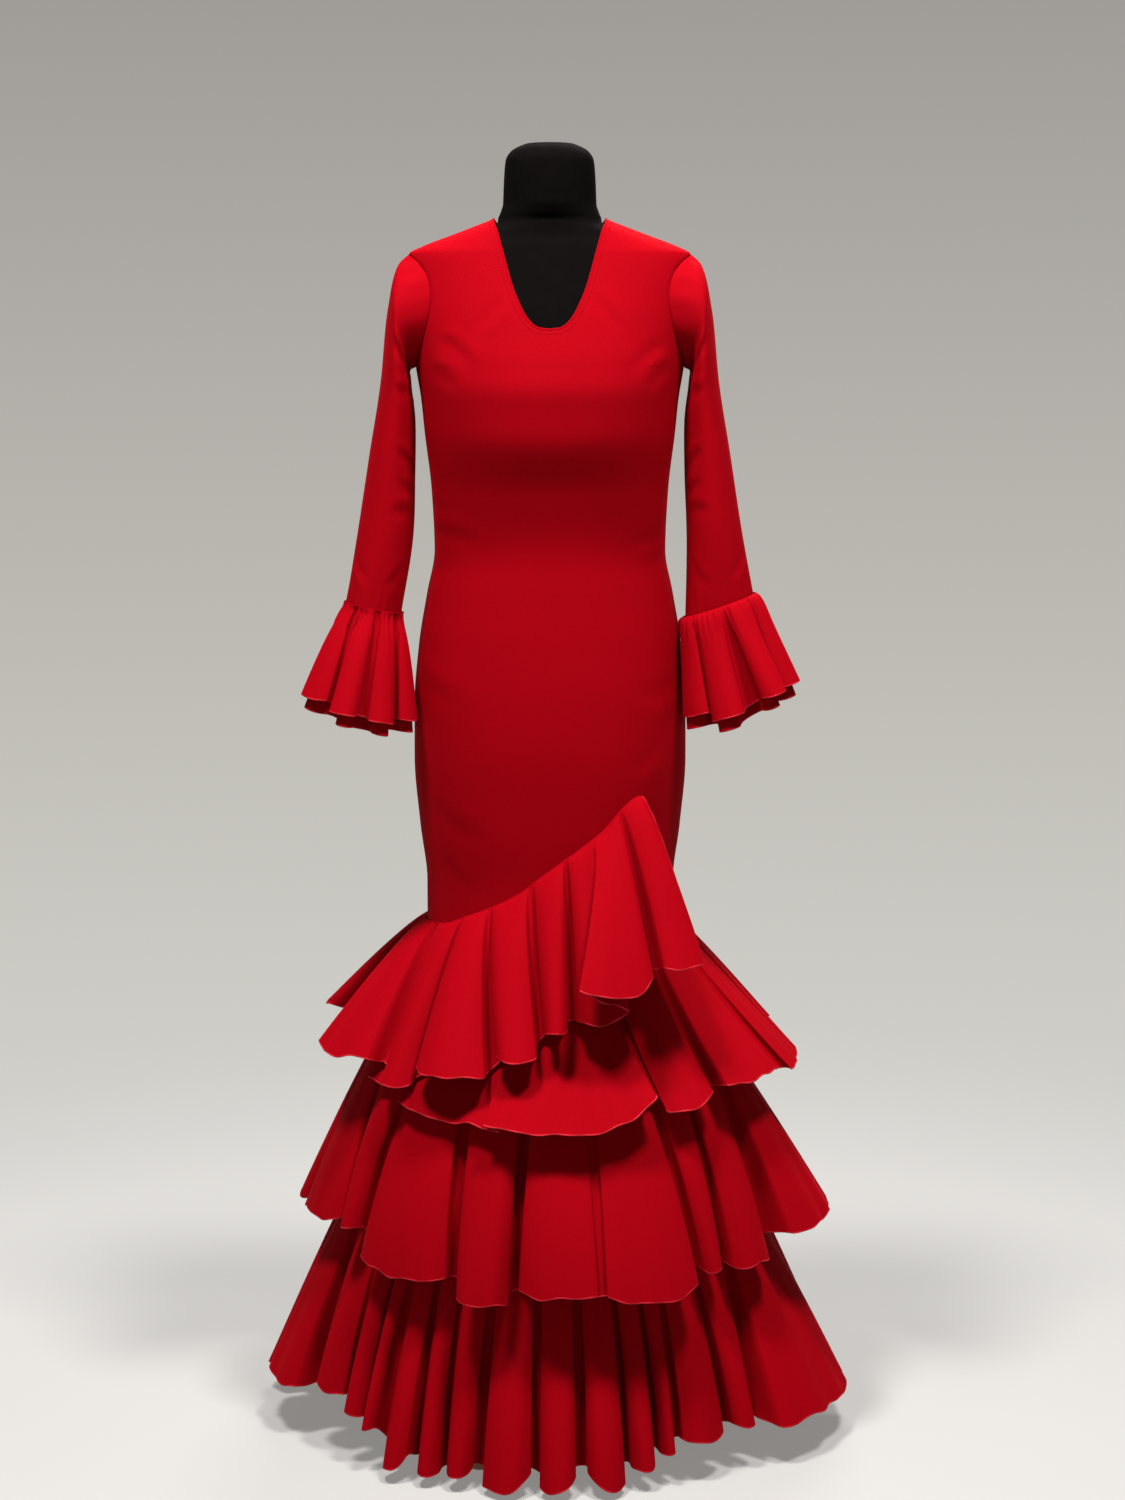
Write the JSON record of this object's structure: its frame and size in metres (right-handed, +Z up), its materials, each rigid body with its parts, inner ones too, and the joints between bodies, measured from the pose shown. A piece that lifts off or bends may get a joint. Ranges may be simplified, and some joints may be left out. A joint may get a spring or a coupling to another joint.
{
  "type": "flamenco dress on a dress form",
  "caption": "Long fitted flamenco dress with ruffled cuffs and gathered flounces that climb to one hip, standing on a limbless dress form with a wooden foot.",
  "frame": {"origin": "middle of the underside of the stand's foot, on the floor, on the axis of the pole", "axes": "+Z up; the dress's front faces -Y; +X is the viewer's right when looking at the front"},
  "size_m": [0.7122, 0.6983, 1.526],
  "materials": {
    "crepe": "matte woven polyester crepe, deep red",
    "jersey": "matte black jersey cover",
    "pole_steel": "satin black powder coat",
    "foot_wood": "clear satin varnish",
    "zip_tape": "woven zip tape with closed coil teeth",
    "zip_metal": "red lacquered zinc"
  },
  "bodies": {
    "dress_on_form": {"dress_front": "crepe", "dress_back_left": "crepe", "dress_back_right": "crepe", "underskirt": "crepe", "sleeve_left": "crepe", "sleeve_right": "crepe", "cuff_left_top": "crepe", "cuff_left_under": "crepe", "cuff_right_top": "crepe", "cuff_right_under": "crepe", "flounce_top": "crepe", "flounce_second": "crepe", "flounce_third": "crepe", "flounce_bottom": "crepe", "form_body": "jersey", "stand_pole": "pole_steel", "stand_foot": "foot_wood", "zip_strip": "zip_tape", "zip_slider": "zip_metal"},
    "pull_tab": {"zip_pull": "zip_metal"}
  },
  "joints": [
    {"name": "pull_tab_swing", "type": "hinge", "parent": "dress_on_form", "child": "pull_tab", "pos_m": [0, 0.0822, 1.40372], "axis": [1, 0, 0], "range_deg": [0, 150]}
  ]
}
